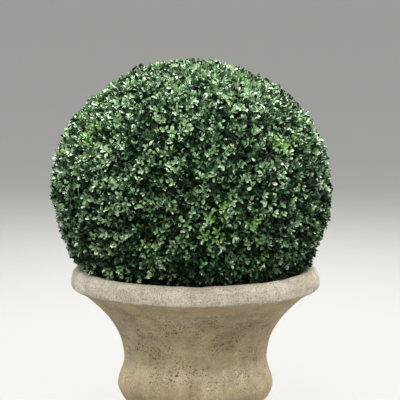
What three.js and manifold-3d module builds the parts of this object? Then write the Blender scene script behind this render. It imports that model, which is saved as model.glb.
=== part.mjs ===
// Box topiary ball in a cast stone urn.
// Millimetres, +Z up, front towards -Y. The origin is the middle of the urn's flat underside.

import * as THREE from 'three';
import { LoftGeometry } from 'three/addons/geometries/LoftGeometry.js';
import { mergeVertices } from 'three/addons/utils/BufferGeometryUtils.js';
import Module from 'manifold-3d';

const wasm = await Module();
wasm.setup();

// ---- driving dimensions -------------------------------------------------------------

const GAP = 0.4; // between pieces that touch
const BEND_REACH = 0.36; // handles of a bend, as a share of its chord

// Headings in the turning plane, in degrees from straight out.
const UP = 90;
const IN = 180;
const DOWN = 270;

const urn = {
  height: 430, // underside of the foot to the crest of the rim
  footRadius: 130,
  footEdge: 27, // height of the foot's upright edge
  footRound: 5,
  neckRadius: 88,
  neckHeight: 94,
  bulgeRadius: 159.5,
  bulgeHeight: 188,
  waistRadius: 146.5,
  waistHeight: 244,
  brimRadius: 240, // the flare ends here, in a crease under the rim
  brimHeight: 387,
  brimArrive: 38,
  lipRadius: 250.5, // the rim's underside runs out to here, then turns up sharply
  lipHeight: 390,
  lipLeave: 20,
  rimRadius: 255, // widest, with a short upright edge
  rimLow: 395.5,
  rimHigh: 402,
  crestRadius: 236,
  mouthRadius: 213,
  mouthHeight: 403,
  bellRadius: 165.6, // inside wall, halfway down the flare
  bellHeight: 343,
  bellHeading: 226,
  boreRadius: 120.5, // inside wall at the waist
  floorRadius: 90,
  floorHeight: 132,
  divisions: 4, // facets along each bend of the outline
  segments: 40, // facets round the axis
};

const soil = {
  top: 388,
  edgeDrop: 5, // the surface falls away towards the urn's wall
  flatRadius: 60, // level round the stem
};

const stem = {
  flareRadius: 27, // root flare, where the stem leaves the soil
  flareHeight: 26,
  flareFade: 0.4, // of its height, for the flare to fall to about a third
  radius: 16,
  forkRadius: 18,
  height: 92, // soil to fork
  lean: [-9, 5], // how far the fork stands off the foot
  steps: 8,
  sides: 10,
};

const boughs = {
  count: 5,
  sway: 0.2, // most that each turns from its even place, in radians
  swayBeat: 5,
  length: 168,
  startRadius: 10,
  tipRadius: 4.5,
  depth: 12, // how far under the fork's top the highest leaves the stem
  stagger: 6, // and each of the others by one more of these
  rise: 34, // degrees above level at the fork
  lift: 26, // degrees more at the tip
  steps: 6,
  sides: 7,
};

const crown = {
  centre: new THREE.Vector3(-7, 0, 592),
  radius: 290,
  halfHeight: 264,
  fullness: 2.2, // 2 is a plain ellipsoid; the lower half is fuller
  drift: 7, // towards +X, down at the underside
  bottom: 399,
  rimGap: 1.5,
  detail: 10, // fineness of the faceted ball
  waves: 24, // swellings and dips left by the shears
  waveHeight: 0.6,
  waveLength: [110, 420],
};

// ---- helpers ------------------------------------------------------------------------

// Repeatable numbers from 0 to 1.
function makeDice(seed) {
  let state = seed;
  return () => {
    state = (Math.imul(state, 1664525) + 1013904223) >>> 0;
    return state / 2 ** 32;
  };
}

function toSolid(geometry) {
  const bare = new THREE.BufferGeometry().setIndex(geometry.index);
  bare.setAttribute('position', geometry.getAttribute('position'));
  const { attributes, index } = mergeVertices(bare, 1e-3);
  return new wasm.Manifold(
    new wasm.Mesh({
      numProp: 3,
      vertProperties: attributes.position.array,
      triVerts: new Uint32Array(index.array),
    }),
  );
}

function toGeometry(solid) {
  const { vertProperties, triVerts } = solid.getMesh();
  const geometry = new THREE.BufferGeometry();
  geometry.setAttribute('position', new THREE.BufferAttribute(vertProperties, 3));
  geometry.setIndex(new THREE.BufferAttribute(triVerts, 1));
  geometry.computeVertexNormals();
  return geometry;
}

function part(name, geometry, color, roughness) {
  const mesh = new THREE.Mesh(geometry, new THREE.MeshStandardMaterial({ color, roughness }));
  mesh.name = name;
  return mesh;
}

// Adds one smooth bend to an outline, from one heading to another.
function bend(path, leave, arrive, radius, height) {
  const start = path.currentPoint.clone();
  const end = new THREE.Vector2(radius, height);
  const reach = BEND_REACH * start.distanceTo(end);
  const [a, b] = [leave, arrive].map(THREE.MathUtils.degToRad);
  path.bezierCurveTo(
    start.x + reach * Math.cos(a),
    start.y + reach * Math.sin(a),
    end.x - reach * Math.cos(b),
    end.y - reach * Math.sin(b),
    end.x,
    end.y,
  );
}

// Turns an outline of radius and height about +Z, whichever way round it was drawn.
function turned(path) {
  const outline = path.getPoints(urn.divisions);
  if (THREE.ShapeUtils.area(outline) < 0) outline.reverse();
  return new THREE.LatheGeometry(outline, urn.segments).rotateX(Math.PI / 2);
}

// ---- urn ----------------------------------------------------------------------------

function addOutside(path) {
  path.lineTo(urn.footRadius - urn.footRound, 0);
  path.lineTo(urn.footRadius, urn.footRound);
  path.lineTo(urn.footRadius, urn.footEdge);
  bend(path, UP, IN, urn.footRadius - 2 * urn.footRound, urn.footEdge + 2 * urn.footRound);
  bend(path, IN, UP, urn.neckRadius, urn.neckHeight);
  bend(path, UP, UP, urn.bulgeRadius, urn.bulgeHeight);
  bend(path, UP, UP, urn.waistRadius, urn.waistHeight);
  bend(path, UP, urn.brimArrive, urn.brimRadius, urn.brimHeight);
  path.lineTo(urn.lipRadius, urn.lipHeight);
  bend(path, urn.lipLeave, UP, urn.rimRadius, urn.rimLow);
  path.lineTo(urn.rimRadius, urn.rimHigh);
  bend(path, UP, IN, urn.crestRadius, urn.height);
  bend(path, IN, DOWN, urn.mouthRadius, urn.mouthHeight);
}

// The inside wall tapers all the way down, so that the casting leaves its core.
function addInside(path, inset) {
  bend(path, DOWN, urn.bellHeading, urn.bellRadius - inset, urn.bellHeight);
  bend(path, urn.bellHeading, DOWN, urn.boreRadius - inset, urn.waistHeight);
  bend(path, DOWN, IN, urn.floorRadius - inset, urn.floorHeight + inset);
  path.lineTo(0, urn.floorHeight + inset);
}

function urnGeometry() {
  const path = new THREE.Path();
  path.moveTo(0, 0);
  addOutside(path);
  addInside(path, 0);
  return turned(path);
}

// ---- soil ---------------------------------------------------------------------------

function soilGeometry() {
  const filling = new THREE.Path();
  filling.moveTo(0, urn.mouthHeight);
  filling.lineTo(urn.mouthRadius - GAP, urn.mouthHeight);
  addInside(filling, GAP);
  const mound = new THREE.Path();
  mound.moveTo(0, 0);
  mound.lineTo(urn.mouthRadius, 0);
  mound.lineTo(urn.mouthRadius, soil.top - soil.edgeDrop);
  mound.lineTo(soil.flatRadius, soil.top);
  mound.lineTo(0, soil.top);
  return toGeometry(toSolid(turned(filling)).intersect(toSolid(turned(mound))));
}

// ---- stem and boughs ----------------------------------------------------------------

const stemFoot = new THREE.Vector3(0, 0, soil.top + GAP);
const fork = stemFoot.clone().add(new THREE.Vector3(...stem.lean, stem.height));

// A round limb: rings on a curve, with the radius as a function of the way along.
function limb(curve, radiusAt, { steps, sides }, grow) {
  const { normals, binormals } = curve.computeFrenetFrames(steps, false);
  const rings = normals.map((normal, i) => {
    const centre = curve.getPointAt(i / steps);
    const radius = radiusAt(i / steps) + grow;
    return Array.from({ length: sides }, (_, j) => {
      const angle = (j / sides) * 2 * Math.PI;
      return centre
        .clone()
        .addScaledVector(normal, radius * Math.cos(angle))
        .addScaledVector(binormals[i], radius * Math.sin(angle));
    });
  });
  return new LoftGeometry(rings, { capStart: true, capEnd: true });
}

// Stands square on the soil, then leans out to the fork.
function stemGeometry(grow) {
  const middle = new THREE.Vector3(stemFoot.x, stemFoot.y, stemFoot.z + stem.height / 2);
  const curve = new THREE.QuadraticBezierCurve3(stemFoot, middle, fork);
  const radiusAt = (t) => {
    const flare = Math.exp((-t * stem.height) / (stem.flareFade * stem.flareHeight));
    const body = THREE.MathUtils.lerp(stem.radius, stem.forkRadius, t ** 2);
    return body + (stem.flareRadius - stem.radius) * flare;
  };
  return limb(curve, radiusAt, stem, grow);
}

// Leaves the stem under its fork and turns up towards its tip.
function boughGeometry(index, grow) {
  const sway = boughs.sway * Math.sin(boughs.swayBeat * index);
  const turn = (index / boughs.count) * 2 * Math.PI + sway;
  const start = fork.clone();
  start.z -= boughs.depth + ((2 * index) % boughs.count) * boughs.stagger;
  const headings = [boughs.rise, boughs.rise + boughs.lift].map(THREE.MathUtils.degToRad);
  const [first, last] = headings.map(
    (up) =>
      new THREE.Vector3(Math.cos(up) * Math.cos(turn), Math.cos(up) * Math.sin(turn), Math.sin(up)),
  );
  const middle = start.clone().addScaledVector(first, boughs.length / 2);
  const tip = middle.clone().addScaledVector(last, boughs.length / 2);
  const curve = new THREE.QuadraticBezierCurve3(start, middle, tip);
  const radiusAt = (t) => THREE.MathUtils.lerp(boughs.startRadius, boughs.tipRadius, t);
  return limb(curve, radiusAt, boughs, grow);
}

// ---- crown --------------------------------------------------------------------------

function makeUnevenness(seed) {
  const dice = makeDice(seed);
  const waves = Array.from({ length: crown.waves }, () => {
    const run = new THREE.Vector3(dice() - 0.5, dice() - 0.5, dice() - 0.5).normalize();
    const length = THREE.MathUtils.lerp(...crown.waveLength, dice());
    return { run: run.multiplyScalar((2 * Math.PI) / length), start: dice() * 2 * Math.PI };
  });
  return (point) =>
    waves.reduce((sum, { run, start }) => sum + Math.sin(point.dot(run) + start), 0) *
    crown.waveHeight;
}

// The clipped ball, before it is cut to fit its neighbours.
function ballGeometry() {
  const unevenness = makeUnevenness(11);
  const geometry = new THREE.IcosahedronGeometry(1, crown.detail);
  const position = geometry.attributes.position;
  const point = new THREE.Vector3();
  for (let i = 0; i < position.count; i++) {
    point.fromBufferAttribute(position, i).normalize();
    const low = Math.max(0, -point.z);
    const level = Math.hypot(point.x, point.y);
    const power = crown.fullness;
    const fuller = point.z < 0 ? (level ** power + low ** power) ** (-1 / power) : 1;
    point.multiply(new THREE.Vector3(crown.radius, crown.radius, crown.halfHeight));
    point.multiplyScalar(fuller);
    const swell = unevenness(point);
    point.setLength(point.length() + swell).add(crown.centre);
    point.x += crown.drift * low;
    position.setXYZ(i, point.x, point.y, point.z);
  }
  return geometry;
}

function crownGeometry() {
  const under = new THREE.BoxGeometry(4 * crown.radius, 4 * crown.radius, 4 * crown.bottom);
  under.translate(0, 0, -crown.bottom);
  const rim = new THREE.Path();
  rim.moveTo(urn.mouthRadius - crown.rimGap, 0);
  rim.lineTo(urn.rimRadius, 0);
  rim.lineTo(urn.rimRadius, urn.height + crown.rimGap);
  rim.lineTo(urn.crestRadius - crown.rimGap, urn.height + crown.rimGap);
  bend(rim, IN, DOWN, urn.mouthRadius - crown.rimGap, urn.mouthHeight + crown.rimGap);
  rim.lineTo(urn.mouthRadius - crown.rimGap, 0);
  let solid = toSolid(ballGeometry());
  for (const cut of [under, turned(rim), stemGeometry(GAP)]) solid = solid.subtract(toSolid(cut));
  for (let i = 0; i < boughs.count; i++) solid = solid.subtract(toSolid(boughGeometry(i, GAP)));
  return toGeometry(solid);
}

// ---- assembly -----------------------------------------------------------------------

const plant = new THREE.Group();
plant.add(part('urn', urnGeometry(), 0xb3a384, 0.85));
plant.add(part('soil', soilGeometry(), 0x3a2a1c, 0.95));
plant.add(part('stem', stemGeometry(0), 0x7a6a52, 0.8));
for (let i = 0; i < boughs.count; i++) {
  const clear = toSolid(boughGeometry(i, 0)).subtract(toSolid(stemGeometry(GAP)));
  plant.add(part(`bough_${i + 1}`, toGeometry(clear), 0x7a6a52, 0.8));
}
plant.add(part('crown', crownGeometry(), 0x2f4a26, 0.6));

export default plant;
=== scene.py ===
"""Box topiary ball in a cast stone urn.

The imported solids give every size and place. Each one is replaced by a finished piece: the urn
by fine cast stone, the soil by crumbly compost, the stem and boughs by limbs with bark, and the
crown by branches, twigs and leafy shoots that grow on from those limbs.
"""

import math

import bmesh
import bpy
import numpy as np
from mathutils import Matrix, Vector, noise
from mathutils.bvhtree import BVHTree


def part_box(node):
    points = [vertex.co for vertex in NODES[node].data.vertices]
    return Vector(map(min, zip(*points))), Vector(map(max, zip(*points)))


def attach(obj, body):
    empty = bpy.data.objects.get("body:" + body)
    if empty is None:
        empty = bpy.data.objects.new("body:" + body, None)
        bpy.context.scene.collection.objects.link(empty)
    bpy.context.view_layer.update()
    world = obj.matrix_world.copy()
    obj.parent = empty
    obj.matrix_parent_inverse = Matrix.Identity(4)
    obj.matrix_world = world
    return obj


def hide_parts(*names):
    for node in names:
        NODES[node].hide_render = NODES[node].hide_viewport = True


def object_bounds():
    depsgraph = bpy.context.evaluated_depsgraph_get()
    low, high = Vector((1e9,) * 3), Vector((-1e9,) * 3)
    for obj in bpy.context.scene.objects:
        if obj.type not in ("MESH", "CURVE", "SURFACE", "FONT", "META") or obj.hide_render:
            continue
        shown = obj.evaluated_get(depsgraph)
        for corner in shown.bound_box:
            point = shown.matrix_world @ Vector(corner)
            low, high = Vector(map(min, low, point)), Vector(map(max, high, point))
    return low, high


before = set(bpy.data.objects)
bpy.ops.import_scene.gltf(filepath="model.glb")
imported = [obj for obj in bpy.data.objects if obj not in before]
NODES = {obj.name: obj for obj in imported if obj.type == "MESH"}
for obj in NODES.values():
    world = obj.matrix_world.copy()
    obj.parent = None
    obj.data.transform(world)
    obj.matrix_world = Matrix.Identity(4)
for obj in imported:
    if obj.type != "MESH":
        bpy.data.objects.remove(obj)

CAD_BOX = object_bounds()
MM = 0.001
SEED = 20260

# ---- sizes, in metres -----------------------------------------------------------------

URN_STEP = 3.2 * MM  # along the outline
URN_TURNS = 160
HOLLOW_BEND, BACK_BEND = 0.34, 0.17  # sines of the two bends that keep a crease sharp
RIM_DEPTH = 52 * MM  # crest of the rim to just below its lower edge
ARRIS_DROP = 43 * MM  # crest of the rim to its lower edge
LEAF_LENGTH = 14.5 * MM
LEAF_WIDTH = 0.48  # of its length
SHOOTS = 6500  # directions tried round the whole ball
TWIGS = 430
BRANCHES = 48
BRANCH_REACH = (0.56, 0.66)  # of the way from the ball's heart to its surface
TWIG_REACH = (0.78, 0.85)
PAIR_DEPTHS = np.array([1.0, 4.2, 9.0, 15, 22, 31]) * MM  # leaf pairs, back from the tip
PAIR_ANGLES = np.radians([24, 42, 54, 62, 68, 72])  # from the shoot's own line
PAIR_SIZES = np.array([0.55, 0.82, 1.0, 1.03, 0.98, 0.92])
# old leaves are also darkened as painted shade, and the inner ones are painted near black as
# painted shade
OLD_PAIR, INNER_PAIR = 3, 4  # the first pair of old leaves, and of dull inner ones

# Leaf tints, dealt out by shoot: colour, gloss, share of the shoots.
TINTS = {
    "shade": ((0.005, 0.016, 0.007), 0.10, 0.20),
    "deep": ((0.016, 0.048, 0.018), 0.36, 0.19),
    "box": ((0.052, 0.132, 0.048), 0.85, 0.20),
    "mid": ((0.140, 0.262, 0.114), 1.0, 0.19),
    "light": ((0.340, 0.500, 0.275), 1.0, 0.22),
    "fresh": ((0.155, 0.325, 0.085), 0.8, 0.0),
    "lime": ((0.205, 0.385, 0.130), 0.8, 0.0),
    # near black: painted shade for the leaves deep inside the ball
    "inner": ((0.005, 0.015, 0.006), 0.08, 0.0),
}
YOUNG_FROM = "fresh"  # this tint and those after it are not varied by a step
# What each tint darkens to lower down the shoot, deeper in the ball: the leaves there are old,
# and the darker tint is also painted shade.
OLDER_AND_SHADED = {
    "shade": "shade",
    "deep": "shade",
    "box": "shade",
    "mid": "deep",
    "light": "deep",
    "fresh": "box",
    "lime": "box",
    "inner": "inner",
}


# ---- making and finishing pieces ------------------------------------------------------


def select_only(*objects):
    if bpy.context.mode != "OBJECT":
        bpy.ops.object.mode_set(mode="OBJECT")
    bpy.ops.object.select_all(action="DESELECT")
    for o in objects:
        o.select_set(True)
    bpy.context.view_layer.objects.active = objects[0] if objects else None


def named(name):
    """The object just added, under its own name."""
    piece = bpy.context.object
    piece.name = name
    piece.data.name = name
    return piece


def finish_piece(piece, material, slot, *replaced):
    piece.data.materials.clear()
    piece.data.materials.append(material)
    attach(piece, "root")
    if replaced:
        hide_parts(*replaced)
    return piece


def apply_modifier(piece, kind, **settings):
    modifier = piece.modifiers.new(kind.title(), kind)
    for key, value in settings.items():
        setattr(modifier, key, value)
    select_only(piece)
    bpy.ops.object.modifier_apply(modifier=modifier.name)


def coordinates(mesh):
    co = np.empty(len(mesh.vertices) * 3, np.float32)
    mesh.vertices.foreach_get("co", co)
    return co.reshape(-1, 3).astype(float)


def set_coordinates(mesh, co):
    mesh.vertices.foreach_set("co", np.asarray(co, np.float32).ravel())
    mesh.update()


def normals_of(mesh):
    out = np.empty(len(mesh.vertices) * 3, np.float32)
    mesh.vertices.foreach_get("normal", out)
    return out.reshape(-1, 3).astype(float)


def copy_of_node(node, name):
    """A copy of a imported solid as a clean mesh, for reworking."""
    piece = NODES[node].copy()
    piece.data = NODES[node].data.copy()
    for key in list(piece.keys()):
        del piece[key]
    piece.parent = None
    bpy.context.scene.collection.objects.link(piece)
    select_only(piece)
    named(name)
    bpy.ops.object.mode_set(mode="EDIT")
    bpy.ops.mesh.select_all(action="SELECT")
    bpy.ops.mesh.remove_doubles(threshold=0.02 * MM)
    bpy.ops.mesh.normals_make_consistent(inside=False)
    bpy.ops.object.mode_set(mode="OBJECT")
    return piece


def piece_from_arrays(name, verts, faces):
    """One joined mesh from an (n, 3) array of corners and an (m, k) array of faces."""
    mesh = bpy.data.meshes.new(name)
    mesh.vertices.add(len(verts))
    mesh.vertices.foreach_set("co", np.asarray(verts, np.float32).ravel())
    count, corners = faces.shape
    mesh.loops.add(count * corners)
    mesh.loops.foreach_set("vertex_index", faces.astype(np.int32).ravel())
    mesh.polygons.add(count)
    mesh.polygons.foreach_set("loop_start", np.arange(0, count * corners, corners, np.int32))
    mesh.polygons.foreach_set("use_smooth", np.ones(count, bool))
    mesh.update(calc_edges=True)
    mesh.validate()
    piece = bpy.data.objects.new(name, mesh)
    bpy.context.scene.collection.objects.link(piece)
    return piece


def unit(v):
    return v / np.maximum(np.linalg.norm(v, axis=-1, keepdims=True), 1e-9)


def fractal(points, size, octaves=4, offset=0.0):
    """Soft cloudy noise, about -1 to 1, with lumps of the given size."""
    shift = Vector((offset, 2.3 * offset, -1.7 * offset))
    return np.array(
        [noise.fractal(Vector(p) / size + shift, 1.0, 2.1, octaves) for p in points]
    )


# ---- materials ------------------------------------------------------------------------


class Finish:
    """A material's tree, with short ways to add and join its nodes."""

    def __init__(self, tree):
        self.tree = tree

    def add(self, kind, inputs=(), **settings):
        node = self.tree.nodes.new(kind)
        for key, value in settings.items():
            setattr(node, key, value)
        for key, value in dict(inputs).items():
            self.feed(node.inputs[key], value)
        return node

    def feed(self, socket, value):
        if isinstance(value, bpy.types.NodeSocket):
            self.tree.links.new(value, socket)
        else:
            socket.default_value = value

    def ramp(self, value, *stops):
        """A colour ramp through (position, colour or grey) stops."""
        node = self.add("ShaderNodeValToRGB", {"Fac": value})
        elements = node.color_ramp.elements
        while len(elements) < len(stops):
            elements.new(0.5)
        for element, (position, tone) in zip(elements, stops):
            element.position = position
            element.color = (*tone, 1) if isinstance(tone, tuple) else (tone, tone, tone, 1)
        return node.outputs["Color"]

    def moved(self, where, **inputs):
        """Coordinates stretched by Scale or shifted by Location."""
        return self.add("ShaderNodeMapping", {"Vector": where, **inputs}).outputs["Vector"]

    def noise(self, where, scale, detail=4.0, roughness=0.55):
        inputs = {"Vector": where, "Scale": scale, "Detail": detail, "Roughness": roughness}
        return self.add("ShaderNodeTexNoise", inputs).outputs["Fac"]

    def mix(self, share, a, b, blend="MIX"):
        node = self.add("ShaderNodeMix", data_type="RGBA", blend_type=blend)
        for index, value in ((0, share), (6, a), (7, b)):
            if isinstance(value, tuple):
                value = (*value, 1)
            self.feed(node.inputs[index], value)
        return node.outputs[2]

    def math(self, operation, a, b=0.0, c=0.5, clamp=False):
        inputs = {0: a, 1: b, 2: c}
        node = self.add("ShaderNodeMath", inputs, operation=operation, use_clamp=clamp)
        return node.outputs[0]

    def place(self, group, **inputs):
        """A shared effect, with this material's own values."""
        node = self.add("ShaderNodeGroup", node_tree=group)
        for label, value in inputs.items():
            self.feed(node.inputs[label], value)
        return node.outputs

    def bump(self, height, strength, distance, normal=None):
        inputs = {"Height": height, "Strength": strength, "Distance": distance}
        if normal is not None:
            inputs["Normal"] = normal
        return self.add("ShaderNodeBump", inputs).outputs["Normal"]


def shared_effect(name, inputs, outputs, build):
    """An effect that several materials use, as a node group."""
    group = bpy.data.node_groups.new(name, "ShaderNodeTree")
    for label, kind in inputs.items():
        group.interface.new_socket(label, in_out="INPUT", socket_type=kind)
    for label, kind in outputs.items():
        group.interface.new_socket(label, in_out="OUTPUT", socket_type=kind)
    f = Finish(group)
    given = f.add("NodeGroupInput").outputs
    f.add("NodeGroupOutput", build(f, given))
    return group


def grain_effect():
    """Grain, crumbs or cracks: a colour between dark and light, and the height to bump."""

    def build(f, given):
        noise_inputs = {"Vector": given["Where"], "Scale": given["Scale"], "Detail": 4.0}
        noise_inputs["Roughness"] = given["Roughness"]
        value = f.add("ShaderNodeTexNoise", noise_inputs).outputs["Fac"]
        share = f.ramp(value, (0.32, 0.0), (0.66, 1.0))
        return {"Colour": f.mix(share, given["Dark"], given["Light"]), "Height": value}

    inputs = {
        "Where": "NodeSocketVector",
        "Scale": "NodeSocketFloat",
        "Roughness": "NodeSocketFloat",
        "Dark": "NodeSocketColor",
        "Light": "NodeSocketColor",
    }
    outputs = {"Colour": "NodeSocketColor", "Height": "NodeSocketFloat"}
    return shared_effect("grain", inputs, outputs, build)


GRAIN = grain_effect()


def new_material(name, **plain):
    material = bpy.data.materials.new(name)
    material.use_nodes = True
    tree = material.node_tree
    shader = next(n for n in tree.nodes if n.type == "BSDF_PRINCIPLED")
    for key, value in plain.items():
        shader.inputs[key.replace("_", " ")].default_value = value
    return material, Finish(tree), shader


def air_holes(f, where, scale, size, chance, where_clustered):
    """Small round holes, a few to a patch: 1 in a hole and 0 outside."""
    cell = f.add("ShaderNodeTexVoronoi", {"Vector": where, "Scale": scale})
    hole = f.ramp(cell.outputs["Distance"], (0.5 * size, 1.0), (size, 0.0))
    dealt = f.add("ShaderNodeSeparateColor", {"Color": cell.outputs["Color"]}).outputs["Red"]
    chosen = f.math("LESS_THAN", dealt, chance)
    return f.math("MULTIPLY", f.math("MULTIPLY", hole, chosen), where_clustered)


def cast_stone():
    """Weathered cast stone: mottled buff, sandy, with stains and air holes; painted light on the
    rim, the swelling and under the rim, and painted shade in the holes.
    """
    material, f, shader = new_material("cast_stone")
    where = f.add("ShaderNodeTexCoord").outputs["Object"]
    height = f.add("ShaderNodeSeparateXYZ", {0: where}).outputs["Z"]
    rise = f.math("DIVIDE", height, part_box("urn")[1].z)
    cloud = f.noise(where, 6.0, 6.0, 0.62)
    mottle = f.noise(where, 30.0, 5.0, 0.65)
    streaks = f.noise(f.moved(where, Scale=(1.0, 1.0, 0.16)), 34.0, 4.0, 0.6)
    bands = f.noise(f.moved(where, Scale=(0.16, 0.16, 1.0)), 110.0, 4.0, 0.6)
    warmth = f.noise(f.moved(where, Location=(0.7, 0.2, 0.4)), 8.5, 4.0, 0.6)
    uneven = f.math("MULTIPLY_ADD", f.math("SUBTRACT", mottle, 0.5), 0.05, rise)

    # buff in three depths, cooler and warmer by patches
    buff = f.ramp(cloud, (0.30, (0.475, 0.375, 0.225)), (0.50, (0.61, 0.495, 0.31)),
                  (0.70, (0.73, 0.62, 0.43)))
    cast = f.ramp(warmth, (0.36, (0.86, 0.90, 0.86)), (0.50, (0.97, 0.96, 0.95)),
                  (0.62, (1.0, 0.90, 0.82)))
    colour = f.mix(0.8, buff, cast, "MULTIPLY")

    # painted light: a highlight painted on the swelling, lighter paint under the rim and a paler
    # rim
    painted_highlight_swelling = f.ramp(uneven, (0.46, 0.0), (0.53, 0.7), (0.60, 0.0))
    colour = f.mix(painted_highlight_swelling, colour, (0.72, 0.60, 0.43))
    # painted light: lighter paint just under the rim, lifting the shade the rim casts there
    painted_light_under_rim = f.ramp(uneven, (0.80, 0.0), (0.89, 0.75))
    colour = f.mix(painted_light_under_rim, colour, (0.68, 0.53, 0.33))
    # painted light: the rim is painted paler, standing in for the light on its top
    rim = f.ramp(rise, (0.908, 0.0), (0.916, 0.92))
    painted_light_rim_colour = f.ramp(cloud, (0.35, (0.58, 0.53, 0.42)), (0.65, (0.76, 0.71, 0.60)))
    colour = f.mix(rim, colour, painted_light_rim_colour)

    # stains that run down, blotches, marks left by turning, and sand
    colour = f.mix(0.6, colour, f.ramp(streaks, (0.30, 0.68), (0.62, 1.0)), "MULTIPLY")
    colour = f.mix(0.6, colour, f.ramp(mottle, (0.30, 0.66), (0.62, 1.0)), "MULTIPLY")
    turned = f.ramp(rise, (0.50, 0.22), (0.78, 0.70), (0.90, 0.55))
    colour = f.mix(turned, colour, f.ramp(bands, (0.36, 0.68), (0.54, 1.0)), "MULTIPLY")
    sand = f.place(GRAIN, Where=where, Scale=380.0, Roughness=0.7,
                   Dark=(0.46, 0.43, 0.38, 1), Light=(1, 1, 1, 1))
    colour = f.mix(0.85, colour, sand["Colour"], "MULTIPLY")

    # air holes, in clusters on the bell and more thinly on the rim
    belt = f.ramp(rise, (0.44, 0.35), (0.56, 1.0), (0.78, 1.0), (0.87, 0.3))
    clusters = f.ramp(f.noise(where, 19.0, 3.0, 0.6), (0.45, 0.0), (0.53, 1.0))
    clusters = f.math("MULTIPLY", clusters, belt)
    clusters = f.math("MAXIMUM", clusters, f.math("MULTIPLY", rim, 0.5))
    large = air_holes(f, where, 76.0, 0.24, 0.36, clusters)
    small = air_holes(f, where, 222.0, 0.42, 0.76, clusters)
    holes = f.math("MAXIMUM", large, f.math("MULTIPLY", small, 0.85))
    # painted shade: the holes are painted near black inside
    colour = f.mix(f.math("MULTIPLY", holes, 0.92), colour, (0.05, 0.036, 0.022))

    f.feed(shader.inputs["Base Color"], colour)
    f.feed(shader.inputs["Roughness"], f.ramp(mottle, (0.2, 0.80), (0.8, 0.95)))
    coarse = f.bump(mottle, 0.4, 1.6 * MM)
    sandy = f.bump(sand["Height"], 0.45, 0.6 * MM, coarse)
    f.feed(shader.inputs["Normal"], f.bump(f.math("SUBTRACT", 1.0, holes), 0.8, 2 * MM, sandy))
    return material


def compost():
    """Dark, damp, crumbly compost."""
    material, f, shader = new_material("compost", Roughness=0.95)
    where = f.add("ShaderNodeTexCoord").outputs["Object"]
    crumbs = f.place(GRAIN, Where=where, Scale=90.0, Roughness=0.7,
                     Dark=(0.012, 0.008, 0.005, 1), Light=(0.06, 0.04, 0.026, 1))
    f.feed(shader.inputs["Base Color"], crumbs["Colour"])
    f.feed(shader.inputs["Normal"], f.bump(crumbs["Height"], 0.8, 3 * MM))
    return material


def box_bark():
    """Grey-fawn bark with fine lengthwise cracks."""
    material, f, shader = new_material("box_bark", Roughness=0.85)
    where = f.add("ShaderNodeTexCoord").outputs["Object"]
    stretched = f.moved(where, Scale=(1.0, 1.0, 0.22))
    cracks = f.place(GRAIN, Where=stretched, Scale=240.0, Roughness=0.7,
                     Dark=(0.07, 0.05, 0.032, 1), Light=(0.19, 0.15, 0.10, 1))
    f.feed(shader.inputs["Base Color"], cracks["Colour"])
    f.feed(shader.inputs["Normal"], f.bump(cracks["Height"], 0.7, 1.2 * MM))
    return material


def plain(name, colour, roughness):
    """One colour all over."""
    return new_material(name, Base_Color=(*colour, 1), Roughness=roughness)[0]


def leaf_skin(name, colour, gloss):
    """A leathery leaf in one tint; the old leaves inside are dull."""
    return new_material(
        f"leaf_{name}",
        Base_Color=(*colour, 1),
        Roughness=0.5 - 0.22 * gloss,
        Specular_IOR_Level=gloss,
    )[0]


# ---- urn ------------------------------------------------------------------------------


def meridian(node):
    """The outline of a turned solid as (radius, height), from the axis round to the axis."""
    mesh = bmesh.new()
    mesh.from_mesh(NODES[node].data)
    bmesh.ops.remove_doubles(mesh, verts=mesh.verts, dist=0.02 * MM)
    tolerance = 0.05 * MM
    start = min(mesh.verts, key=lambda v: (v.co.xy.length > tolerance, v.co.z))
    outline, here, came = [start], start, None
    while len(outline) == 1 or here.co.xy.length > tolerance:
        ways = [e.other_vert(here) for e in here.link_edges]
        ways = [v for v in ways if v is not came and abs(v.co.y) < tolerance]
        ways = [v for v in ways if v.co.x > tolerance or len(outline) > 2]
        came, here = here, ways[0]
        outline.append(here)
    points = [(v.co.x, v.co.z) for v in outline]
    mesh.free()
    return points


def fine_outline(points, step, hidden):
    """The outline as a smooth curve of short runs, sharp where a hollow turns straight back."""
    p = np.array(points)
    run = np.diff(p, axis=0)
    length = np.linalg.norm(run, axis=1)
    leave = run / length[:, None]
    arrive = leave.copy()
    bend = np.cross(leave[:-1], leave[1:])
    for i in range(1, len(run)):
        crease = bend[i - 1] < -HOLLOW_BEND and i < len(bend) and bend[i] > BACK_BEND
        if not crease:
            shared = arrive[i - 1] * length[i] + run[i] / length[i] * length[i - 1]
            arrive[i - 1] = leave[i] = shared / np.linalg.norm(shared)
    fine = []
    for i, size in enumerate(length):
        near = [min(size, length[j]) if 0 <= j < len(length) else size for j in (i - 1, i + 1)]
        buried = i in (0, len(length) - 1)
        count = 1 if buried else math.ceil(size / (step * (4 if hidden(p[i]) else 1)))
        t = (np.arange(count) / count)[:, None]
        fine.append(
            (1 + 2 * t) * (1 - t) ** 2 * p[i] + t * (1 - t) ** 2 * near[0] * leave[i]
            + t * t * (3 - 2 * t) * p[i + 1] + t * t * (t - 1) * near[1] * arrive[i]
        )
    return np.concatenate([*fine, p[-1:]])


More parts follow.
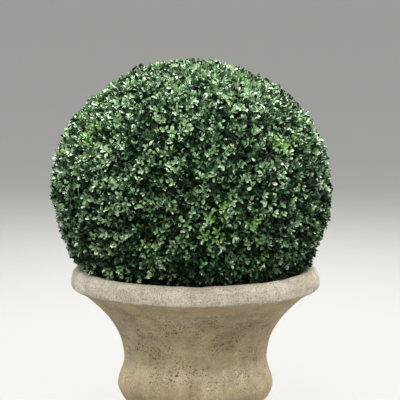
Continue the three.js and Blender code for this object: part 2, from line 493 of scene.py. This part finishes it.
def turned_urn():
    """Draws the outline point by point from the foot over the rim, then spins it round."""
    crest, soil_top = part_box("urn")[1].z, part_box("soil")[1].z
    points = meridian("urn")
    top = max(range(len(points)), key=lambda i: points[i][1])
    inside = {tuple(p) for p in points[top:] if p[1] < soil_top - 5 * MM}
    outline = fine_outline(points, URN_STEP, lambda p: tuple(p) in inside)
    select_only()
    bpy.ops.mesh.primitive_plane_add(size=crest, location=(*outline[0, :1], 0, outline[0, 1]))
    urn = named("urn_casting")
    bpy.ops.object.mode_set(mode="EDIT")
    bpy.ops.mesh.select_all(action="SELECT")
    bpy.ops.mesh.merge(type="CENTER")
    for across, up in np.diff(outline, axis=0):
        bpy.ops.mesh.extrude_region_move(TRANSFORM_OT_translate={"value": (across, 0, up)})
    bpy.ops.mesh.select_all(action="SELECT")
    bpy.ops.mesh.spin(steps=URN_TURNS, angle=math.tau, center=(0, 0, 0), axis=(0, 0, 1))
    bpy.ops.mesh.select_all(action="SELECT")
    bpy.ops.mesh.remove_doubles(threshold=0.01 * MM)
    bpy.ops.mesh.normals_make_consistent(inside=False)
    bpy.ops.object.mode_set(mode="OBJECT")
    bpy.ops.object.transform_apply(location=True, rotation=True, scale=True)
    return urn


def weathered(urn):
    """Leaves the cast wall a little uneven, with a worn and nicked rim."""
    co, out = coordinates(urn.data), normals_of(urn.data)
    wave = 1.0 * fractal(co, 90 * MM, 3, 3.1) + 0.45 * fractal(co, 22 * MM, 3, 8.7)
    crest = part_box("urn")[1].z
    on_rim = np.clip((co[:, 2] - (crest - RIM_DEPTH)) / (8 * MM), 0, 1)
    wave += on_rim * 0.9 * fractal(co, 38 * MM, 2, 6.2)
    arris = np.exp(-(((co[:, 2] - (crest - ARRIS_DROP)) / (5 * MM)) ** 2))
    nicks = np.clip(fractal(co, 15 * MM, 2, 2.6) - 0.28, 0, 0.5)
    wave -= 5 * nicks * arris + 1.8 * nicks * on_rim
    standing = np.clip(co[:, 2] / (12 * MM), 0, 1)[:, None]
    set_coordinates(urn.data, co + out * wave[:, None] * MM * standing)
    select_only(urn)
    bpy.ops.object.shade_smooth_by_angle(angle=math.radians(28))
    return urn


# ---- soil and limbs -------------------------------------------------------------------


def crumbly_soil():
    """The fill of the urn, with crumbs and small clods on its top."""
    soil = copy_of_node("soil", "compost_fill")
    apply_modifier(soil, "REMESH", mode="VOXEL", voxel_size=5 * MM)
    co, out = coordinates(soil.data), normals_of(soil.data)
    top = np.clip((out[:, 2] - 0.6) / 0.3, 0, 1)
    lumps = (2.2 * fractal(co, 14 * MM, 3, 1.4) - 0.8) * top * MM
    co[:, 2] += lumps
    set_coordinates(soil.data, co)
    select_only(soil)
    bpy.ops.object.shade_smooth()
    return soil


def barked_limb(node):
    """A limb with the ridges and swellings of old bark."""
    limb = copy_of_node(node, f"{node}_bark")
    bpy.ops.object.mode_set(mode="EDIT")
    bpy.ops.mesh.select_all(action="SELECT")
    bpy.ops.mesh.subdivide(number_cuts=3, smoothness=0.6)
    bpy.ops.object.mode_set(mode="OBJECT")
    co, out = coordinates(limb.data), normals_of(limb.data)
    ridged = co * (1.0, 1.0, 0.3)
    relief = 0.8 * fractal(ridged, 5 * MM, 3, 0.9) + 0.8 * fractal(co, 30 * MM, 2, 4.4)
    foot = np.clip((co[:, 2] - co[:, 2].min()) / (4 * MM), 0, 1)
    set_coordinates(limb.data, co + out * (relief * foot)[:, None] * MM)
    select_only(limb)
    bpy.ops.object.shade_smooth()
    return limb


def centre_line(node, start, count):
    """Points down the middle of a packed limb, from the end nearest to start."""
    co = coordinates(NODES[node].data)
    order = np.argsort(np.linalg.norm(co - start, axis=1))
    return np.array([co[group].mean(0) for group in np.array_split(order, count)])


# ---- the branching rule ---------------------------------------------------------------


class Ball:
    """The crown's clipped surface, found by looking in from outside."""

    def __init__(self):
        low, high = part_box("crown")
        middle = (low + high) / 2
        width = high.x - low.x
        self.heart = np.array([middle.x, middle.y, high.z - 0.455 * width])
        solid = NODES["crown"].data
        corners = [v.co.copy() for v in solid.vertices]
        self.tree = BVHTree.FromPolygons(corners, [tuple(p.vertices) for p in solid.polygons])
        self.reach = 2 * width

    def surface(self, directions):
        """Where each direction from the heart leaves the ball."""
        origin = self.heart + directions * self.reach
        hits = [self.tree.ray_cast(Vector(o), Vector(-d)) for o, d in zip(origin, directions)]
        return np.array([h[0] for h in hits]), np.array([h[1] for h in hits])


def spread(count, dice, jitter):
    """Directions spread evenly round the sphere, each moved a little."""
    i = np.arange(count) + 0.5
    z = 1 - 2 * i / count
    turn = i * math.pi * (1 + math.sqrt(5))
    level = np.sqrt(1 - z * z)
    even = np.stack([level * np.cos(turn), level * np.sin(turn), z], 1)
    return unit(even + dice.normal(0, jitter / math.sqrt(count), (count, 3)))


def bezier(p0, p1, p2, p3, t):
    """Points and headings on many cubic curves at once: p are (n, 3), t is (m,) or (n, m)."""
    t = np.broadcast_to(t, (len(p0), np.shape(t)[-1]))[..., None]
    a, b, c, d = (p[:, None, :] for p in (p0, p1, p2, p3))
    u = 1 - t
    point = u**3 * a + 3 * u * u * t * b + 3 * u * t * t * c + t**3 * d
    heading = 3 * u * u * (b - a) + 6 * u * t * (c - b) + 3 * t * t * (d - c)
    return point, unit(heading)


def nearest(points, lines, first):
    """For each point, the nearest place on any of the lines past their first few steps."""
    places = lines[:, first:].reshape(-1, 3)
    picks = []
    for block in np.array_split(points, max(1, len(points) // 500)):
        gap = np.linalg.norm(block[:, None] - places[None], axis=2)
        picks.append(gap.argmin(1))
    picks = np.concatenate(picks)
    per_line = lines.shape[1] - first
    line, step = picks // per_line, picks % per_line + first
    here = lines[line, step]
    return here, unit(here - lines[line, step - 1])


def grow(starts, headings, ends, arrive, steps, pull=0.35):
    """Curved growth from each start, along the limb's heading at first, to each end."""
    length = np.linalg.norm(ends - starts, axis=1, keepdims=True)
    control = (starts, starts + headings * length * pull, ends - arrive * length * pull, ends)
    return bezier(*control, np.linspace(0, 1, steps)), control


def tubes(lines, radii, sides):
    """Round twigs along many lines at once, closed at both ends: corners and faces."""
    count, steps, _ = lines.shape
    heading = unit(np.gradient(lines, axis=1))
    lean = np.abs(heading.mean(1)).argmin(1)
    across = unit(np.cross(heading, np.eye(3)[lean][:, None, :]))
    other = np.cross(heading, across)
    angle = np.arange(sides) * 2 * math.pi / sides
    ring = (
        across[:, :, None] * np.cos(angle)[:, None] + other[:, :, None] * np.sin(angle)[:, None]
    )
    verts = lines[:, :, None] + ring * radii[..., None, None]
    at = np.arange(count * steps * sides).reshape(count, steps, sides)
    turned = np.roll(at, -1, axis=2)
    walls = np.stack([at[:, :-1], turned[:, :-1], turned[:, 1:], at[:, 1:]], -1).reshape(-1, 4)
    tris = np.concatenate([walls[:, [0, 1, 2]], walls[:, [0, 2, 3]]])
    fan = [(0, k, k + 1) for k in range(1, sides - 1)]
    ends = [at[:, -1][:, list(f)] for f in fan] + [at[:, 0][:, list(f)[::-1]] for f in fan]
    return verts.reshape(-1, 3), np.concatenate([tris, *ends])


def model_leaf():
    """One box leaf, along +Y from its stalk, its upper face +Z: egg-shaped with a notched tip."""
    select_only()
    bpy.ops.mesh.primitive_circle_add(vertices=8, radius=0.5, fill_type="TRIFAN")
    leaf = named("leaf_pattern")
    bpy.ops.object.mode_set(mode="EDIT")
    bpy.ops.mesh.select_all(action="SELECT")
    bpy.ops.transform.resize(value=(LEAF_WIDTH, 1, 1))
    bpy.ops.transform.translate(value=(0, 0.5, 0))
    bpy.ops.object.mode_set(mode="OBJECT")
    co = coordinates(leaf.data)
    rise = co[:, 1].copy()
    shoulder = np.interp(rise, [0, 0.1, 0.35, 0.65, 0.92, 1], [0.5, 0.7, 0.88, 1.03, 1.2, 1])
    co[:, 0] *= shoulder
    co[rise > 0.99, 1] = 0.955
    co[:, 2] = 0.46 * np.abs(co[:, 0]) - 0.16 * (co[:, 1] - 0.35) ** 2
    set_coordinates(leaf.data, co)
    faces = np.array([list(p.vertices) for p in leaf.data.polygons])
    normals = np.array([p.normal[:] for p in leaf.data.polygons])
    if normals[:, 2].mean() < 0:
        faces = faces[:, ::-1]
    bpy.data.objects.remove(leaf)
    return co, faces


def leaves_on(control, length, dice):
    """Frames for opposite leaf pairs along each shoot: stalk end, axes and size of every leaf."""
    count, pairs = len(length), len(PAIR_DEPTHS)
    depth = PAIR_DEPTHS * dice.uniform(0.85, 1.15, (count, pairs))
    t = 1 - np.clip(depth / length[:, None], 0, 0.95)
    foot, heading = bezier(*control, t)
    lean = np.abs(heading[:, 0]).argmin(1)
    side = unit(np.cross(heading, np.eye(3)[lean][:, None, :]))
    other = np.cross(heading, side)
    turn = dice.uniform(0, 2 * math.pi, (count, 1)) + np.arange(pairs) * math.pi / 2
    turn = turn + dice.normal(0, 0.16, (count, pairs))
    frames = []
    for half in (0, math.pi):
        angle = (turn + half + dice.normal(0, 0.08, turn.shape))[..., None]
        outward = side * np.cos(angle) + other * np.sin(angle)
        spread_angle = (PAIR_ANGLES + dice.normal(0, 0.16, (count, pairs)))[..., None]
        along = heading * np.cos(spread_angle) + outward * np.sin(spread_angle)
        up = heading * np.sin(spread_angle) - outward * np.cos(spread_angle)
        across = np.cross(along, up)
        twist = dice.normal(0, 0.28, (count, pairs))[..., None]
        up, across = (
            up * np.cos(twist) + across * np.sin(twist),
            across * np.cos(twist) - up * np.sin(twist),
        )
        size = LEAF_LENGTH * PAIR_SIZES * dice.uniform(0.82, 1.16, (count, pairs))
        frames.append((foot + outward * 0.5 * MM, across, along, up, size))
    return [np.stack(parts, 2) for parts in zip(*frames)]


def rest_on_rim(verts, rim):
    """Lifts what would sink into the rim, so that low leaves lie on the stone."""
    radius = np.hypot(verts[:, 0], verts[:, 1])
    top = np.interp(radius, rim[:, 0], rim[:, 1], left=-1, right=-1) + 0.8 * MM
    verts[:, 2] = np.maximum(verts[:, 2], top)
    return verts


def deal_tints(tips, heart, dice):
    """A tint for each shoot, with painted shade low down and painted light high up, and young
    growth scattered in patches.
    """
    names = list(TINTS)
    shares = np.array([TINTS[n][2] for n in names])
    pick = dice.choice(len(names), len(tips), p=shares / shares.sum())
    # painted shade: low on the ball, shoots step to a darker tint
    low = np.clip((heart[2] - 20 * MM - tips[:, 2]) / (160 * MM), 0, 1)
    pick = np.maximum(pick - (dice.random(len(tips)) < 0.95 * low), 0)
    # painted light: high on the ball, shoots step to a lighter tint
    high = np.clip((tips[:, 2] - heart[2] - 90 * MM) / (150 * MM), 0, 1)
    pick = np.minimum(pick + (dice.random(len(tips)) < 0.6 * high), names.index("light"))
    patches = tips[dice.choice(len(tips), 40, replace=False)]
    sizes = dice.uniform(9, 26, len(patches)) * MM
    gap = np.linalg.norm(tips[:, None] - patches[None], axis=2) / sizes
    young = dice.random(len(tips)) < 0.85 * np.exp(-gap.min(1) ** 2)
    young |= dice.random(len(tips)) < 0.008
    fresh = np.where(dice.random(len(tips)) < 0.3, names.index("lime"), names.index("fresh"))
    return np.where(young, fresh, pick)


def leaf_tints(tips, heart, dice):
    """A tint for each leaf: its shoot's own, darker down the shoot for age and as painted shade,
    near black as painted shade on the inner pairs, varied by a step.
    """
    names = list(TINTS)
    older_and_shaded = np.array([names.index(OLDER_AND_SHADED[n]) for n in names])
    tint = np.repeat(deal_tints(tips, heart, dice)[:, None], len(PAIR_DEPTHS), 1)
    # painted shade, partly: leaves further down the shoot take the darker tint of old leaves
    tint[:, OLD_PAIR:] = older_and_shaded[tint[:, OLD_PAIR:]]
    # painted shade: the inner pairs are painted near black
    tint[:, INNER_PAIR:] = names.index("inner")
    tint = np.repeat(tint[:, :, None], 2, 2)
    step = dice.choice([-1, 0, 1], tint.shape, p=[0.28, 0.5, 0.22])
    step[:, OLD_PAIR:] = np.minimum(step[:, OLD_PAIR:], 0)
    young = names.index(YOUNG_FROM)
    return np.where(tint < young, np.clip(tint + step, 0, young - 1), tint)


def targets(ball, count, dice, jitter, inset):
    """Directions from the heart, and the places above the soil where they leave the ball."""
    directions = spread(count, dice, jitter)
    surface, normal = ball.surface(directions)
    keep = (surface[:, 2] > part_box("soil")[1].z + inset) & (normal[:, 2] > -0.95)
    return directions[keep], surface[keep]


def wood(ball, limbs, first, count, inset, reach, steps, wander, dice):
    """Branches or twigs from the nearest limbs to part of the way out, a little crooked."""
    way, surface = targets(ball, count, dice, 0.5, inset)
    ends = ball.heart + (surface - ball.heart) * dice.uniform(*reach, (len(way), 1))
    start, heading = nearest(ends, limbs, first)
    (lines, _), _ = grow(start, heading, ends, way, steps)
    return lines + dice.normal(0, wander, lines.shape) * np.linspace(0, 1, steps)[:, None]


def taper(lines, first, last):
    """A radius at each step of each line."""
    return np.linspace(first, last, lines.shape[1]) * MM * np.ones((len(lines), 1))


def clipped_tips(ball, dice):
    """Where the shoots end, how they lean, and the surface they were clipped to."""
    way, surface = targets(ball, SHOOTS, dice, 0.42, 22 * MM)
    count = len(way)
    lumps = 3.4 * fractal(surface, 34 * MM, 2, 5.5)
    depth = dice.normal(0, 2.3, count) + lumps - 6.6
    depth -= np.where(dice.random(count) < 0.16, dice.uniform(4, 14, count), 0)
    depth += np.where(dice.random(count) < 0.04, dice.uniform(1, 4, count), 0)
    depth = np.minimum(depth, lumps - 2.6)

    # low down the ball tucks in, and the lowest shoots hang over the rim
    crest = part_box("urn")[1].z
    skirt = np.clip((crest + 26 * MM - surface[:, 2]) / (14 * MM), 0, 1)
    tuck = np.clip((crest + 130 * MM - surface[:, 2]) / (90 * MM), 0, 1)
    depth += skirt * dice.uniform(0, 8, count) - 6.5 * tuck
    lift = 0.16 - 0.5 * skirt[:, None]
    lean = unit(way + dice.normal(0, 0.40, way.shape) + lift * np.array([0, 0, 1.0]))
    return surface + way * depth[:, None] * MM - lean * 3.5 * MM, lean, surface


def leafy_crown(bark):
    """Branches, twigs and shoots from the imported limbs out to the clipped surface."""
    dice = np.random.default_rng(SEED)
    ball = Ball()
    fork = centre_line("stem", np.zeros(3), 8)[-1]
    boughs = [n for n in sorted(NODES) if n.startswith("bough")]
    limbs = np.array([centre_line(n, fork, 8) for n in boughs])

    branches = wood(ball, limbs, 2, BRANCHES, 30 * MM, BRANCH_REACH, 9, 1.6 * MM, dice)
    twigs = wood(ball, branches, 3, TWIGS, 12 * MM, TWIG_REACH, 7, 0.9 * MM, dice)
    thick, thick_faces = tubes(branches, taper(branches, 4.0, 2.0), 7)
    thin, thin_faces = tubes(twigs, taper(twigs, 1.9, 1.0), 5)
    verts = np.concatenate([thick, thin])
    faces = np.concatenate([thick_faces, thin_faces + len(thick)])
    finish_piece(piece_from_arrays("twigs", verts, faces), bark, "bark")

    tips, lean, surface = clipped_tips(ball, dice)
    start, heading = nearest(tips - lean * 55 * MM, twigs, 3)
    (shoots, _), control = grow(start, heading, tips, lean, 6, 0.4)
    verts, faces = tubes(shoots, taper(shoots, 0.85, 0.45), 3)
    green = plain("young_stem", (0.055, 0.07, 0.022), 0.6)
    finish_piece(piece_from_arrays("shoots", verts, faces), green, "bark")

    # the leaves, less those that the shears would take
    length = np.linalg.norm(np.diff(shoots, axis=1), axis=2).sum(1)
    foot, across, along, up, size = leaves_on(control, length, dice)
    reach = np.linalg.norm(foot + along * size[..., None] - ball.heart, axis=-1)
    kept = reach < np.linalg.norm(surface - ball.heart, axis=1)[:, None, None] + 3 * MM
    tint = leaf_tints(tips, ball.heart, dice)
    pattern, leaf_faces = model_leaf()
    rim = np.array([p for p in meridian("urn") if p[1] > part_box("soil")[1].z + 12 * MM])
    rim = rim[np.argsort(rim[:, 0])]
    for index, name in enumerate(TINTS):
        mine = (tint == index) & kept
        axes = [a[mine] for a in (across, along, up)]
        verts = foot[mine][:, None] + size[mine][:, None, None] * sum(
            pattern[None, :, k, None] * axes[k][:, None] for k in range(3)
        )
        faces = leaf_faces[None] + (np.arange(len(verts)) * len(pattern))[:, None, None]
        verts = rest_on_rim(verts.reshape(-1, 3), rim)
        piece = piece_from_arrays(f"leaves_{name}", verts, faces.reshape(-1, 3))
        finish_piece(piece, leaf_skin(name, *TINTS[name][:2]), "foliage", "crown")


# ---- studio ---------------------------------------------------------------------------


def area_light(name, place, aim, size, power, colour=(1, 1, 1)):
    """A round soft light, turned to face its aim."""
    light = bpy.data.lights.new(name, "AREA")
    light.shape = "DISK"
    light.size = size
    light.energy = power
    light.color = colour
    lamp = bpy.data.objects.new(name, light)
    lamp.location = place
    lamp.rotation_euler = (Vector(aim) - Vector(place)).to_track_quat("-Z", "Y").to_euler()
    bpy.context.scene.collection.objects.link(lamp)


def studio():
    """A pale floor that fades into the distance, a bright sky overhead and soft lights."""
    select_only()
    bpy.ops.mesh.primitive_plane_add(size=40, location=(0, 0, CAD_BOX[0].z - 0.1 * MM))
    floor = named("studio_floor")
    floor.data.materials.append(plain("pale_floor", (0.205, 0.205, 0.2), 0.9))
    world = bpy.data.worlds.new("sky")
    bpy.context.scene.world = world
    world.use_nodes = True
    f = Finish(world.node_tree)
    way = f.add("ShaderNodeTexCoord").outputs["Generated"]
    height = f.add("ShaderNodeSeparateXYZ", {0: way}).outputs["Z"]
    background = world.node_tree.nodes["Background"]
    sky = f.ramp(f.math("MULTIPLY_ADD", height, 0.5), (0.49, (0.094, 0.094, 0.092)),
                 (0.52, (0.090, 0.090, 0.090)), (0.56, (0.02, 0.02, 0.021)),
                 (0.84, (0.03, 0.03, 0.03)), (0.93, (1.0, 0.995, 0.98)))
    f.feed(background.inputs["Color"], sky)
    background.inputs["Strength"].default_value = 3.5
    middle = (0, 0, 0.5)
    area_light("overhead", (-0.1, 0.1, 3.0), middle, 2.2, 110, (1, 0.995, 0.97))
    area_light("back_sky", (0.2, 2.6, 2.4), middle, 2.2, 130)
    area_light("key", (-0.3, -2.8, 2.6), middle, 1.5, 94, (1, 0.99, 0.95))
    area_light("left_window", (-2.6, 1.5, 1.6), middle, 1.8, 38)
    area_light("right_window", (2.6, 0.9, 1.4), middle, 1.8, 52, (1, 0.98, 0.94))
    bpy.context.scene.view_settings.view_transform = "Standard"


def camera():
    """A long lens a little above the rim, with the urn's foot below the picture."""
    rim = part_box("urn")[1].z
    aim = Vector((0.0095, 0, rim + 0.137))
    distance, elevation = 4.9, math.radians(8.2)
    data = bpy.data.cameras.new("camera")
    data.sensor_width = 36
    data.lens = 216
    data.clip_start, data.clip_end = 0.05, 200
    view = bpy.data.objects.new("camera", data)
    view.location = aim + distance * Vector((0, -math.cos(elevation), math.sin(elevation)))
    view.rotation_euler = (aim - view.location).to_track_quat("-Z", "Y").to_euler()
    bpy.context.scene.collection.objects.link(view)
    bpy.context.scene.camera = view


# ---- putting it together --------------------------------------------------------------

finish_piece(weathered(turned_urn()), cast_stone(), "cast_stone", "urn")
finish_piece(crumbly_soil(), compost(), "soil", "soil")
bark = box_bark()
leafy_crown(bark)
for node in sorted(NODES):
    if node == "stem" or node.startswith("bough"):
        finish_piece(barked_limb(node), bark, "bark", node)
studio()
camera()
